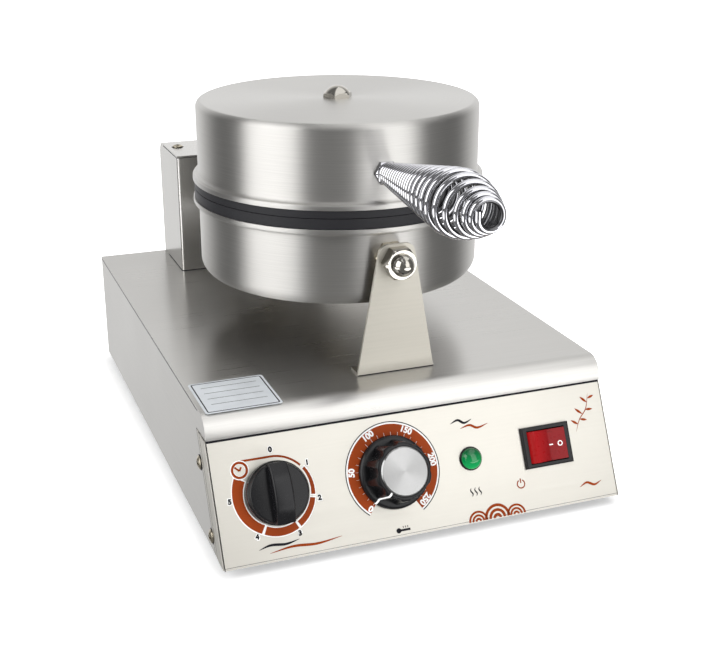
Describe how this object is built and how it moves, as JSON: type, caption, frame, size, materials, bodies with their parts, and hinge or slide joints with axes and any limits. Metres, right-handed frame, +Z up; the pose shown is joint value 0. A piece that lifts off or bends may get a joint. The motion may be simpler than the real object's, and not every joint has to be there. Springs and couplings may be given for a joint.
{
  "type": "donut maker",
  "caption": "Countertop donut maker: round hinged baking pans on a steel base with a sloped control panel, coil handle, timer and thermostat dials, lamp and rocker switch.",
  "frame": {"origin": "on the standing surface, under the middle of the whole object, handle and cord gland included", "axes": "+X right as seen from the control panel, +Y to the back, +Z up"},
  "size_m": [0.2536, 0.4324, 0.2402],
  "materials": {
    "brushed_steel": "brushed",
    "panel_steel": "satin, printed",
    "galvanised_steel": "galvanised",
    "chrome": "polished",
    "zinc_steel": "zinc plated",
    "hinge_steel": "bead blasted",
    "nonstick_plate": "non-stick coated",
    "heater_sheath": "heat darkened",
    "bronze": "sintered",
    "rubber": "matte",
    "knob_black": "moulded satin",
    "cap_aluminium": "spun",
    "body_plastic": "moulded",
    "rocker_red": "glossy",
    "lamp_green": "tinted, glossy"
  },
  "bodies": {
    "base": {"top_cover": "brushed_steel", "left_side_panel": "brushed_steel", "right_side_panel": "brushed_steel", "panel_angles": "galvanised_steel", "control_panel": "panel_steel", "rear_panel": "brushed_steel", "bottom_plate": "galvanised_steel", "rubber_feet": "rubber", "column_body": "brushed_steel", "column_cover": "brushed_steel", "lower_shell": "brushed_steel", "lower_plate": "nonstick_plate", "lower_heater": "heater_sheath", "lower_clamp_ring": "galvanised_steel", "lower_stud": "zinc_steel", "hinge_bracket_left": "hinge_steel", "hinge_bracket_right": "hinge_steel", "hinge_bracket_bolts": "zinc_steel", "hinge_pin": "zinc_steel", "hinge_circlips": "zinc_steel", "conduit_tube": "zinc_steel", "conduit_nuts": "zinc_steel", "front_bracket": "brushed_steel", "pan_bolt": "zinc_steel", "bracket_cap_nut": "chrome", "timer_body": "body_plastic", "thermostat_body": "body_plastic", "lamp_bezel": "body_plastic", "lamp_lens": "lamp_green", "switch_frame": "body_plastic", "switch_terminals": "galvanised_steel", "cord_gland": "body_plastic", "terminal_block": "body_plastic", "pan_head_screws": "zinc_steel", "m10_nuts": "zinc_steel", "panel_nuts": "zinc_steel"},
    "lid": {"upper_shell": "brushed_steel", "upper_plate": "nonstick_plate", "upper_heater": "heater_sheath", "upper_clamp_ring": "galvanised_steel", "lid_stud": "zinc_steel", "lid_cap_nut": "chrome", "lid_stud_nut": "zinc_steel", "hinge_arm_left": "hinge_steel", "hinge_arm_right": "hinge_steel", "hinge_bushes": "bronze", "lid_saddle": "hinge_steel", "lid_saddle_bolts": "zinc_steel", "lid_grommet": "rubber", "handle_stud": "chrome", "handle_nuts": "chrome", "handle_coil": "chrome"},
    "timer_dial": {"timer_knob": "knob_black", "timer_shaft": "zinc_steel"},
    "thermostat_dial": {"thermostat_knob": "knob_black", "thermostat_shaft": "zinc_steel", "thermostat_cap": "cap_aluminium"},
    "rocker": {"switch_rocker": "rocker_red"}
  },
  "joints": [
    {"name": "lid_hinge", "type": "hinge", "parent": "base", "child": "lid", "pos_m": [0, 0.1262, 0.1787], "axis": [-1, 0, 0], "range_deg": [0, 100]},
    {"name": "timer_turn", "type": "hinge", "parent": "base", "child": "timer_dial", "pos_m": [-0.0895, -0.13248, 0.03998], "axis": [0, 0.8942, -0.4478], "range_deg": [0, 272]},
    {"name": "thermostat_turn", "type": "hinge", "parent": "base", "child": "thermostat_dial", "pos_m": [-0.0183, -0.13248, 0.03998], "axis": [0, 0.8942, -0.4478], "range_deg": [0, 280]},
    {"name": "rocker_tilt", "type": "hinge", "parent": "base", "child": "rocker", "pos_m": [0.082, -0.13284, 0.04016], "axis": [0, -0.4478, -0.8942], "range_deg": [0, 20]}
  ]
}
